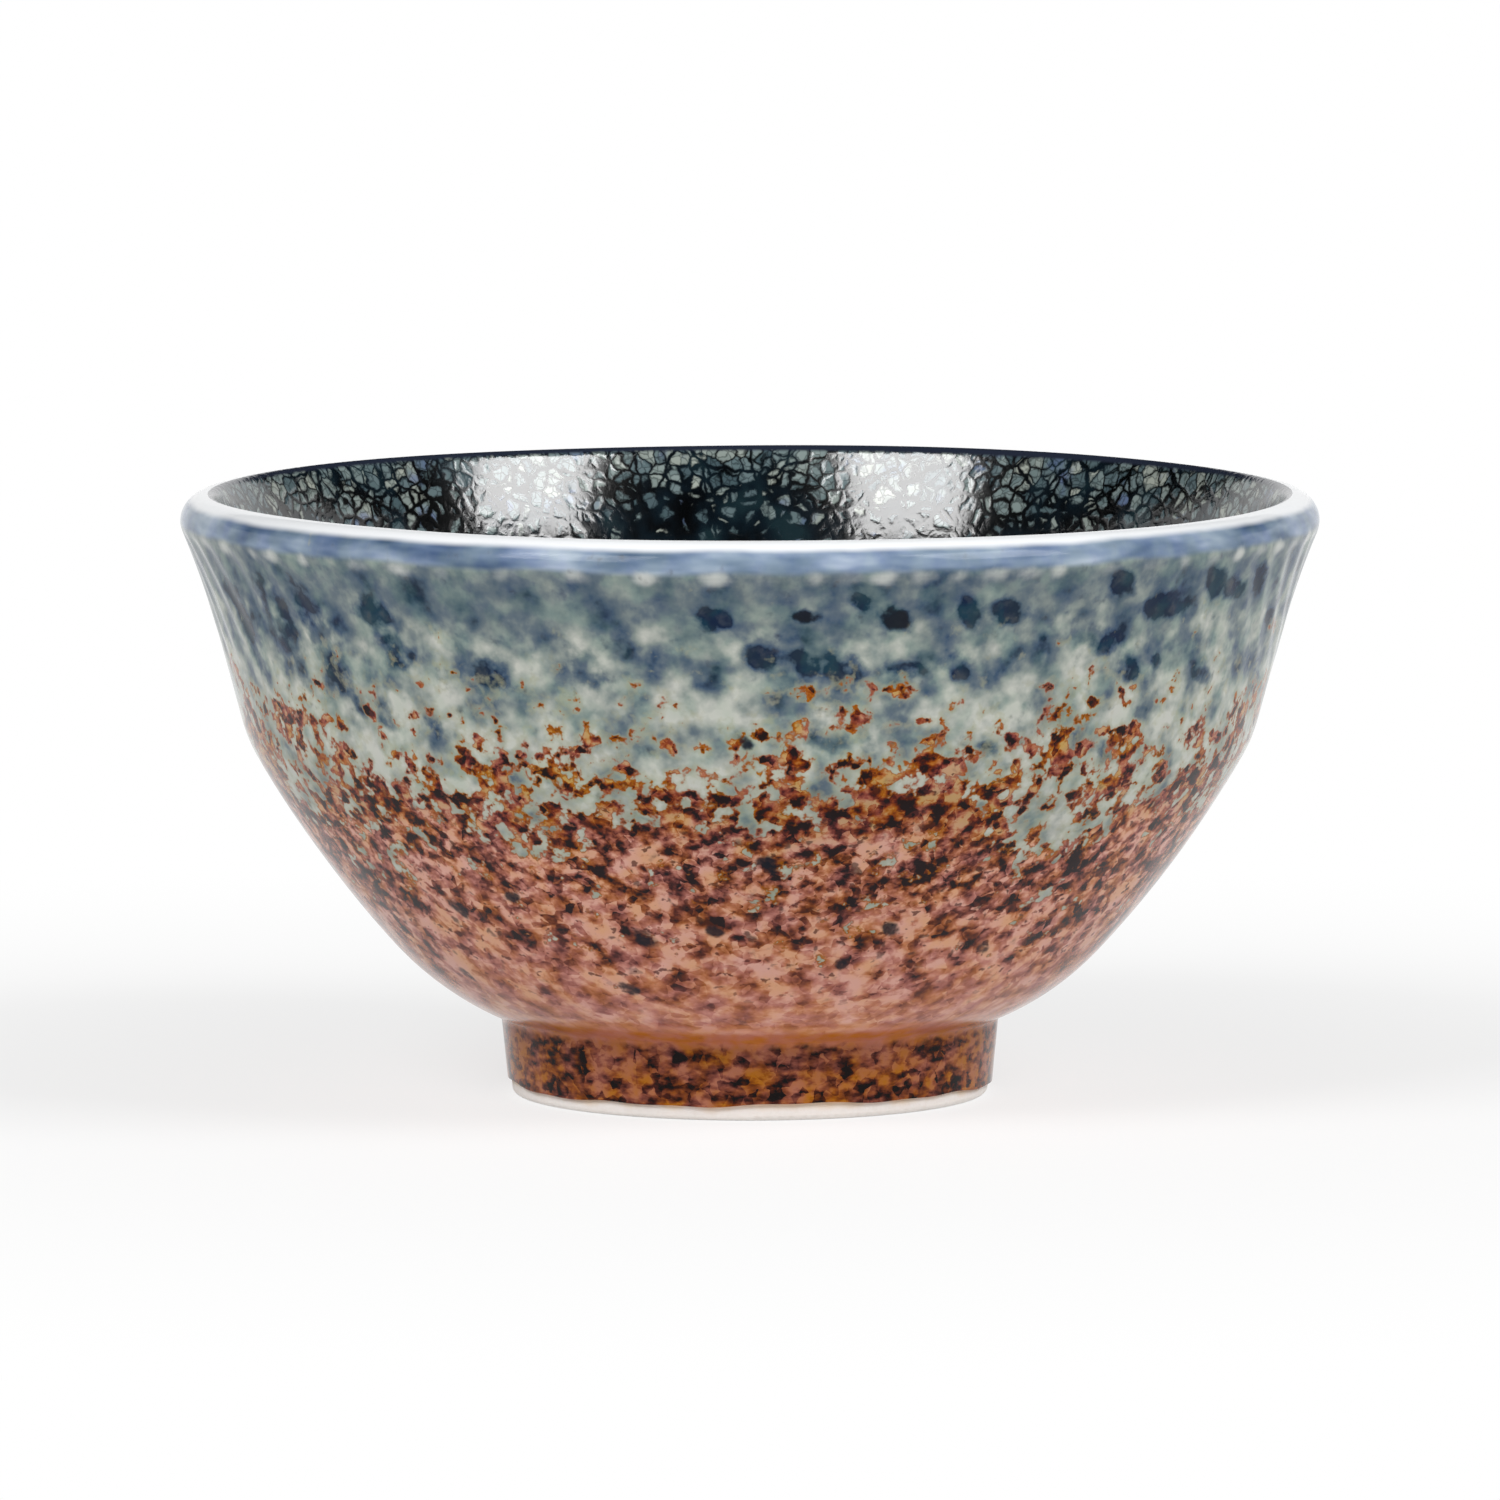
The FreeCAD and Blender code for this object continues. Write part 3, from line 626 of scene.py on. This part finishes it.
    # Iron shows where it lies thickest: everywhere low down, then in a net, then in lone spots.
    # Around it the upper glaze thins to sage, with an ember-coloured edge.
    strands = mottling(tree, ragged_place, 2.1, 3, 41)
    gathered = mottling(tree, place, 9, 2, 47, 1.2)
    net = add(tree, "Mix", {0: 0.42, 2: strands, 3: gathered})
    iron = add(tree, "Math", {0: net, 1: 0.5}, operation="SUBTRACT")
    iron = varied(tree, iron, crystals, 0.03)
    lower_down = add(tree, "Math", {0: RUST_LINE, 1: height}, operation="SUBTRACT")
    lower_down = add(tree, "Math", {0: lower_down, 1: RUST_FADE}, operation="MULTIPLY")
    spots = add(tree, "Attribute", attribute_name="rust").outputs["Fac"]
    spots = add(tree, "Math", {0: spots, 1: 0.13}, operation="MULTIPLY")
    cleared = add(tree, "MapRange", {0: height, 1: 42, 2: 50, 3: 0, 4: 0.05}, **SOFT)
    iron = add(tree, "Math", {0: iron, 1: lower_down}, operation="ADD")
    iron = add(tree, "Math", {0: iron, 1: spots}, operation="ADD")
    iron = add(tree, "Math", {0: iron, 1: cleared}, operation="SUBTRACT")
    iron = varied(tree, iron, grit, 0.3)
    thinned = add(tree, "MapRange", {0: iron, 1: -0.13, 2: -0.02, 3: 0, 4: 0.48}, **SOFT)
    glowing = add(tree, "MapRange", {0: iron, 1: -0.03, 2: 0.012}, **SOFT)
    broken_through = add(tree, "MapRange", {0: iron, 1: -0.002, 2: 0.045}, **SOFT)
    body = add(tree, "Mix", {0: thinned, 6: upper, 7: linear(SAGE)}, data_type="RGBA").outputs[2]
    body = add(tree, "Mix", {0: glowing, 6: body, 7: linear(EMBER)}, data_type="RGBA").outputs[2]
    body = add(tree, "Mix", {0: broken_through, 6: body, 7: lower}, data_type="RGBA").outputs[2]
    ore = marked(tree, "ore", ragged)
    ore = add(tree, "MapRange", {0: ore, 1: 0.25, 2: 1.0, 3: 0, 4: 0.93}, **SOFT)
    body = add(tree, "Mix", {0: ore, 6: body, 7: linear(ORE_BLACK)}, data_type="RGBA").outputs[2]

    # Small shifts of hue and strength, and the white of the drained crest with a painted highlight
    # along it.
    warmth = mottling(tree, place, 2.8, 3, 83)
    warmth = add(tree, "MapRange", {0: warmth, 1: 0.3, 2: 0.7}, **SOFT)
    hue = add(tree, "MapRange", {0: warmth, 3: 0.488, 4: 0.512})
    strength = add(tree, "MapRange", {0: warmth, 3: 0.9, 4: 1.15})
    body = add(tree, "HueSaturation", {"Hue": hue, "Saturation": strength, "Color": body})
    crest_edge = varied(tree, height, drift, 0.5)
    on_crest = add(tree, "MapRange", {0: crest_edge, 1: 62.5, 2: 63.2}, **SOFT)
    body = add(tree, "Mix", {0: on_crest, 6: body, 7: linear(CREST_WHITE_AND_HIGHLIGHT)},
               data_type="RGBA").outputs[2]
    tree.links.new(body, surface.inputs["Base Color"])
    surface.inputs["Roughness"].default_value = 0.12
    surface.inputs["Specular IOR Level"].default_value = 0.12
    swell = mottling(tree, place, 3, 2, 71)
    waves = add(tree, "Bump", {"Height": swell, "Distance": 0.02 * MM, "Strength": 0.6})
    tree.links.new(waves.outputs[0], surface.inputs["Normal"])
    return material


PEARL_TALL = 0.85
PEARL_GLOW = chance.uniform(0.3, 1.0, len(PEARLS))
PEARL_WIDTH = chance.uniform(1.0, 1.9, len(PEARLS))


def pearl_field(turn, z, radius):
    """The pearls at the heads of the flutes, partly painted highlights, some bright and some nearly lost.
    """
    aside = np.abs(apart(turn[:, None], PEARLS)) / PEARL_WIDTH
    far = np.hypot(aside, ((z - FLUTE_HEADS) / PEARL_TALL)[:, None])
    return np.max(PEARL_GLOW * (1 - step_up(far, 0.0, 1.5)), axis=1)


POOL_SPREAD = 1.15  # to make up for the pools' soft edges


def colour_marks(piece):
    """Marks an outer coat with the flutes, pools, rust, ore and pearls that its glaze reads."""
    mark(piece, "flutes", lambda turn, z, radius: fluted(turn, z))
    pools = [(a, z, POOL_SPREAD * wide, POOL_SPREAD * tall) for a, z, wide, tall in POOLS]
    mark(piece, "pools", patches(pools, 0.7))
    mark(piece, "rust", patches(RUST_SPOTS))
    mark(piece, "ore", patches(ORE, 0.6))
    mark(piece, "pearls", pearl_field)


outer_glaze = glaze("running_iron_glaze")
lip_rows = between(outline, CREST, LIP_BOTTOM, 0.2)
lip = coat("lip_glaze_coat", lip_rows, COAT, outer_glaze, relief)
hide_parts("lip_glaze")
colour_marks(lip)


# ---------------------------------------------------------------------------------------------
# Upper coat: slate-blue ash glaze on the wall, from under the lip to the shoulder. The bowl was
# dipped in it from the rim, so it lies thick enough there to cloud grey-green as it ran.
# ---------------------------------------------------------------------------------------------
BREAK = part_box("upper_glaze")[0].z / MM
upper_rows = between(outline, LIP_BOTTOM, BREAK, 0.4)
upper = coat("upper_glaze_coat", upper_rows, COAT, outer_glaze, relief)
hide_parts("upper_glaze")
colour_marks(upper)


# ---------------------------------------------------------------------------------------------
# Lower coat: thin iron glaze over the belly, from the shoulder down to the foot. The whole bowl
# was dipped in it first, and in the kiln it burnt salmon and rust wherever nothing covers it.
# ---------------------------------------------------------------------------------------------
FOOT_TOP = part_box("lower_glaze")[0].z / MM
lower_rows = between(outline, BREAK, FOOT_TOP, 0.45)
lower_coat = coat("lower_glaze_coat", lower_rows, COAT, outer_glaze, relief)
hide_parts("lower_glaze")
colour_marks(lower_coat)


# ---------------------------------------------------------------------------------------------
# Glaze on the foot's outside: the same iron glaze, brown where it gathered as it ran. It was
# wiped off by sponge above the table, so that the bowl doesn't stick, and its edge wavers.
# ---------------------------------------------------------------------------------------------
FOOT_GLAZE_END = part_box("foot_glaze")[0].z / MM


def sponged_edge(turn):
    """How far the wiped edge rises and falls, in millimetres."""
    return (0.18 * np.sin(np.radians(3 * turn + 40)) + 0.12 * np.sin(np.radians(8 * turn))
            + 0.07 * np.sin(np.radians(19 * turn + 70)))


foot_rows = between(outline, FOOT_TOP, FOOT_GLAZE_END, 0.3)
foot_coat = coat("foot_glaze_coat", foot_rows, COAT, outer_glaze, relief, sponged_edge)
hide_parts("foot_glaze")
colour_marks(foot_coat)


# ---------------------------------------------------------------------------------------------
# Foot ring: the same white stoneware, trimmed on the wheel and joined under the bowl with slip.
# It is left bare where it stands, so the CAD solid stays and takes the fired clay.
# ---------------------------------------------------------------------------------------------
dress_node("foot_ring", clay)


# ---------------------------------------------------------------------------------------------
# Liner: the glaze inside, poured in and swirled round. It is glossy and black under a pale skin,
# which crackled as it shrank and thins out down the wall.
# ---------------------------------------------------------------------------------------------
SKIN = "46585f", "6a7c80", "8a9997", "b0b6ab"  # each cell has a tone between these
SKIN_BLUE = "6879a4"
SKIN_DULL = "4c6266"
POOL_BLACK = "040506", "070b0f", "0e1a22", "1a2d33"
RIM_LINE = "262c3b"
liner_glaze, tree, surface, place = finish_of("crackled_liner_glaze")
height = add(tree, "SeparateXYZ", {0: place}).outputs["Z"]
bent = shaken(tree, place, 1.4, 1.3, 5)


def crackle(spacing):
    """Cracked cells: how far each place is from a crack, and a number for each cell."""
    sizes = {"Vector": bent, "Scale": 1 / spacing}
    cells = add(tree, "TexVoronoi", sizes, feature="F1")
    return (add(tree, "TexVoronoi", sizes, feature="DISTANCE_TO_EDGE").outputs["Distance"],
            add(tree, "SeparateXYZ", {0: cells.outputs["Color"]}).outputs["X"])


edge, cell = crackle(1.7)
fine_edge, fine_cell = crackle(0.95)
wide_edge, _ = crackle(5.5)
wandering = mottling(tree, place, 5, 2, 9)
by_cell = add(tree, "Math", {0: cell, 1: 1.5}, operation="MULTIPLY")
depth = varied(tree, height, wandering, 9)
depth = add(tree, "Math", {0: depth, 1: by_cell}, operation="ADD")

# The pale skin covers each cell up to a black crack, which widens down the wall. depth is a
# height that wanders, so that the skin ends raggedly.
width = add(tree, "MapRange", {0: depth, 1: 64.0, 2: 52.5, 3: 0.05, 4: 0.3}, **SOFT)
crack_side = add(tree, "Math", {0: width, 1: 0.06}, operation="SUBTRACT")
skin_side = add(tree, "Math", {0: width, 1: 0.1}, operation="ADD")
skin = add(tree, "MapRange", {0: edge, 1: crack_side, 2: skin_side}, **SOFT)
fine_cracks = add(tree, "MapRange", {0: fine_edge, 1: 0.0, 2: 0.12, 3: 0.4, 4: 1.0}, **SOFT)
wide_cracks = add(tree, "MapRange", {0: wide_edge, 1: 0.015, 2: 0.06}, **SOFT)
sunken = add(tree, "MapRange", {0: depth, 1: 50.5, 2: 56}, **SOFT)
skin = add(tree, "Math", {0: skin, 1: fine_cracks}, operation="MULTIPLY")
skin = add(tree, "Math", {0: skin, 1: wide_cracks}, operation="MULTIPLY")
skin = add(tree, "Math", {0: skin, 1: sunken}, operation="MULTIPLY")

# Cells differ in tone, some patches turned blue, and the wall below them is almost black.
pale = add(tree, "ValToRGB", {0: cell}, colours=SKIN)
blued = mottling(tree, place, 4, 2, 13)
blued = add(tree, "MapRange", {0: blued, 1: 0.58, 2: 0.7, 3: 0, 4: 0.7}, **SOFT)
dulled = add(tree, "MapRange", {0: fine_cell, 1: 0.2, 2: 1.0, 3: 0, 4: 0.4}, **SOFT)
pale = add(tree, "Mix", {0: blued, 6: pale, 7: linear(SKIN_BLUE)}, data_type="RGBA").outputs[2]
pale = add(tree, "Mix", {0: dulled, 6: pale, 7: linear(SKIN_DULL)}, data_type="RGBA").outputs[2]
deep = mottling(tree, place, 6, 3, 31)
deep = varied(tree, 0.4, deep, 3.5)
black = add(tree, "ValToRGB", {0: deep}, colours=POOL_BLACK)
inside = add(tree, "Mix", {0: skin, 6: black, 7: pale}, data_type="RGBA").outputs[2]
on_rim = add(tree, "MapRange", {0: height, 1: 63.0, 2: 63.4}, **SOFT)
inside = add(tree, "Mix", {0: on_rim, 6: inside, 7: linear(RIM_LINE)}, data_type="RGBA").outputs[2]
tree.links.new(inside, surface.inputs["Base Color"])
surface.inputs["Roughness"].default_value = 0.13
surface.inputs["Specular IOR Level"].default_value = 0.75
rounded = add(tree, "MapRange", {0: edge, 1: 0.0, 2: 0.4}, **SOFT)
raised = add(tree, "MapRange", {0: depth, 1: 44, 2: 55, 3: 0.04, 4: 1.0}, **SOFT)
domed = add(tree, "Math", {0: rounded, 1: raised}, operation="MULTIPLY")
domes = add(tree, "Bump", {"Height": domed, "Distance": 0.05 * MM, "Strength": 0.35})
tree.links.new(domes.outputs[0], surface.inputs["Normal"])

# Its line follows the outline a wall's thickness in, then curves to the flat of the floor.
FLOOR_FLAT = 24.0  # across
floor_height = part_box("liner_glaze")[0].z / MM + COAT
high_x = shoulder_x - (high_belly - SHOULDER_RADIUS) * cosine(top)
high_z = shoulder_z + (high_belly - SHOULDER_RADIUS) * sine(top)
inner_belly = high_belly - WALL
floor_curve = ((inner_belly ** 2 - (FLOOR_FLAT / 2 - high_x) ** 2 - (high_z - floor_height) ** 2)
               / (2 * (inner_belly - high_z + floor_height)))
curve_top = -math.degrees(math.atan2(high_z - floor_height - floor_curve, high_x - FLOOR_FLAT / 2))
inner_top = math.degrees(math.atan2(flare_drop - INNER_ROUND, flare_out)) - 180
INSIDE = [
    (INNER_ROUND, -90, inner_top),
    (FLARE_RADIUS + WALL, inner_top, WALL_LEAN - 180),
    (-wall_length, WALL_LEAN - 180, WALL_LEAN - 180),
    (WALL - SHOULDER_RADIUS, WALL_LEAN - 180, top - 180),
    (WALL - high_belly, top - 180, curve_top),
    (-floor_curve, curve_top, -90),
    (-FLOOR_FLAT / 2, -90, -90),
]
hollow = walk((RIM_RADIUS - lip_round, CREST), INSIDE)


def along_to_centre(line, step):
    """Rows of an outline that runs to the axis, a step apart, with one more row past each end.

    The last ring stands a step short of the axis, where the coat's centre closes it."""
    along = np.concatenate([[0], np.cumsum(np.hypot(*np.diff(line[:, :2], axis=0).T))])
    stops = np.linspace(0, along[-1], round(along[-1] / step) + 1)[:-1]
    rows = np.stack([np.interp(stops, along, line[:, i]) for i in range(4)], 1)
    return np.vstack([2 * rows[:1] - rows[1:2], rows, 2 * rows[-1:] - rows[-2:-1]])


liner_rows = along_to_centre(hollow, 0.5)
liner = coat("liner_glaze_coat", liner_rows, COAT, liner_glaze, centre=True)
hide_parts("liner_glaze")


# ---------------------------------------------------------------------------------------------
# Glaze in the foot's well: the same iron glaze as outside, poured in thin and tipped out again.
# It stops short of the table.
# ---------------------------------------------------------------------------------------------
WELL_DRAFT = 6.0  # degrees
WELL_CORNER = 2.0
well_start = (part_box("well_glaze")[1].x / MM - COAT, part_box("well_glaze")[0].z / MM)
well_round = WELL_CORNER - COAT
side_rise = FOOT_HEIGHT - WELL_CORNER - well_round * sine(WELL_DRAFT) - well_start[1]
WELL = [
    (side_rise / cosine(WELL_DRAFT), 180 - WELL_DRAFT, 180 - WELL_DRAFT),
    (-well_round, 180 - WELL_DRAFT, 90),
]
WELL.append((walk(well_start, WELL)[-1, 0], 90, 90))
well_line = walk(well_start, WELL)
well_rows = along_to_centre(well_line, 0.4)
well = coat("well_glaze_coat", well_rows, COAT, outer_glaze, centre=True)
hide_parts("well_glaze")
colour_marks(well)


# ---------------------------------------------------------------------------------------------
# Floor, lamps and camera: a white paper floor, black cloth overhead so that dark glaze stays dark,
# two softboxes ahead and above, and a white surround.
# ---------------------------------------------------------------------------------------------
PAPER_WHITE = "f4f4f4"
CLOTH_BLACK = "0a0a0a"
SHEET_HALF = 6  # metres from the middle of the floor or the cloth to its sides
CLOTH_HEIGHT = 2.4
SOFTBOX_RISE = 40  # degrees above the table
SOFTBOX_AWAY = 1.8
SOFTBOX_SIDE = 0.8
SOFTBOX_WATTS = 22
AIMED_AT = 0.04  # above the table
CAMERA_BACK = 1.6
CAMERA_UP = 0.206
CAMERA_DIP = 6.0555  # degrees down from level


def ground(name, z):
    """A level square sheet over the whole set."""
    mesh = bpy.data.meshes.new(name)
    corners = [(-SHEET_HALF, -SHEET_HALF, z), (SHEET_HALF, -SHEET_HALF, z),
               (SHEET_HALF, SHEET_HALF, z), (-SHEET_HALF, SHEET_HALF, z)]
    mesh.from_pydata(corners, [], [(0, 1, 2, 3)])
    made = bpy.data.objects.new(name, mesh)
    bpy.context.scene.collection.objects.link(made)
    return made


def looked_at(tree):
    """1 on rays that come from the eye, a reflection or clear glass, and 0 on rays that only light."""
    path = add(tree, "LightPath")
    seen = add(tree, "Math", {0: path.outputs["Is Camera Ray"], 1: path.outputs["Is Glossy Ray"]},
               operation="MAXIMUM")
    return add(tree, "Math", {0: seen, 1: path.outputs["Is Transmission Ray"]}, operation="MAXIMUM")


floor = ground("floor", cad_box[0][2])
paper = bpy.data.materials.new("white_paper")
paper.use_nodes = True
tree = paper.node_tree
tree.nodes.clear()
seen = looked_at(tree)
lit = add(tree, "BsdfDiffuse", {"Color": linear(PAPER_WHITE)})
glow = add(tree, "Emission", {"Color": (1, 1, 1, 1), "Strength": 1.0})

# The paper burns out to white, except near the bowl, where it keeps some of the bowl's shadow.
place = add(tree, "TexCoord").outputs["Object"]
from_bowl = add(tree, "VectorMath", {0: place}, operation="LENGTH").outputs["Value"]
away = add(tree, "MapRange", {0: from_bowl, 1: 0.05, 2: 0.22, 3: 0.72, 4: 1.0}, **SOFT)
burnt_out = add(tree, "Math", {0: seen, 1: away}, operation="MULTIPLY")
mixed = add(tree, "MixShader", {0: burnt_out, 1: lit, 2: glow})
add(tree, "OutputMaterial", {"Surface": mixed})
floor.data.materials.append(paper)

ceiling = ground("dark_ceiling", CLOTH_HEIGHT)
ceiling.visible_camera = False
dark = bpy.data.materials.new("black_cloth")
dark.use_nodes = True
dark.node_tree.nodes["Principled BSDF"].inputs["Base Color"].default_value = linear(CLOTH_BLACK)
dark.node_tree.nodes["Principled BSDF"].inputs["Specular IOR Level"].default_value = 0.0
ceiling.data.materials.append(dark)

world = bpy.data.worlds.new("studio")
world.use_nodes = True
tree = world.node_tree
tree.nodes.clear()
seen = looked_at(tree)
fill = add(tree, "Background", {"Color": (1, 1, 1, 1), "Strength": 0.3})
white = add(tree, "Background", {"Color": (1, 1, 1, 1), "Strength": 1.0})
surround = add(tree, "MixShader", {0: seen, 1: fill, 2: white})
add(tree, "OutputWorld", {"Surface": surround})
bpy.context.scene.world = world


def softbox(name, azimuth):
    """A square lamp at degrees right of the front, aimed at the bowl."""
    lamp = bpy.data.lights.new(name, "AREA")
    lamp.shape = "SQUARE"
    lamp.size = SOFTBOX_SIDE
    lamp.energy = SOFTBOX_WATTS
    made = bpy.data.objects.new(name, lamp)
    out = SOFTBOX_AWAY * cosine(SOFTBOX_RISE)
    up = SOFTBOX_AWAY * sine(SOFTBOX_RISE)
    made.location = [out * sine(azimuth), -out * cosine(azimuth), up + AIMED_AT]
    made.rotation_euler = (math.radians(90 - SOFTBOX_RISE), 0, math.radians(azimuth))
    bpy.context.scene.collection.objects.link(made)


softbox("softbox_left", -41)
softbox("softbox_right", 58)

camera_data = bpy.data.cameras.new("camera")
camera_data.lens = 365.4
camera_data.sensor_width = 36
camera_data.clip_end = 50
camera = bpy.data.objects.new("camera", camera_data)
camera.location = (0, -CAMERA_BACK, CAMERA_UP)
camera.rotation_euler = (math.radians(90 - CAMERA_DIP), 0, 0)
bpy.context.scene.collection.objects.link(camera)
bpy.context.scene.camera = camera
bpy.context.scene.view_settings.view_transform = "Standard"
